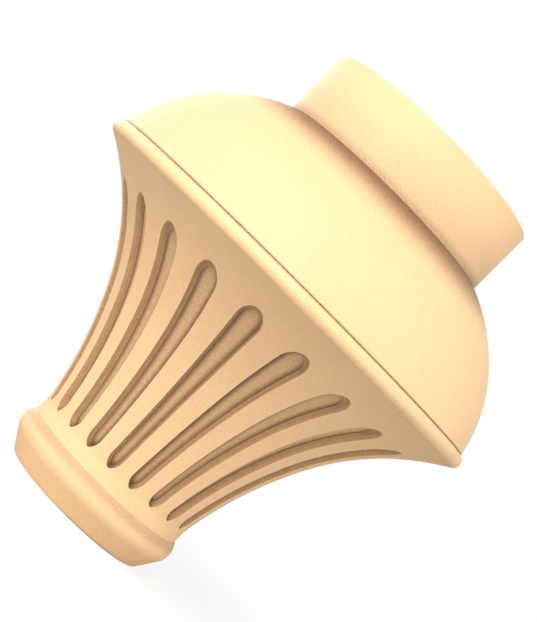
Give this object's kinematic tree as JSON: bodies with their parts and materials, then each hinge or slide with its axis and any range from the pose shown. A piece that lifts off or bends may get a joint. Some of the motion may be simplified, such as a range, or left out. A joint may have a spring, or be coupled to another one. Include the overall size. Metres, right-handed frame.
{
  "type": "curtain pole finial",
  "caption": "Turned and fluted wooden finial for the end of a curtain pole: a flared, fluted bell with a domed back and a round socket collar.",
  "frame": {"origin": "centre of the flat tip face, on which the finial stands", "axes": "+Z along the turning axis, from the tip towards the socket and the pole; a flute is centred on -Y"},
  "size_m": [0.0712, 0.0712, 0.0748],
  "materials": {
    "wood": "pale close-grained hardwood, turned, carved and sanded smooth, unlacquered"
  },
  "bodies": {
    "root": {"finial": "wood"}
  },
  "joints": []
}
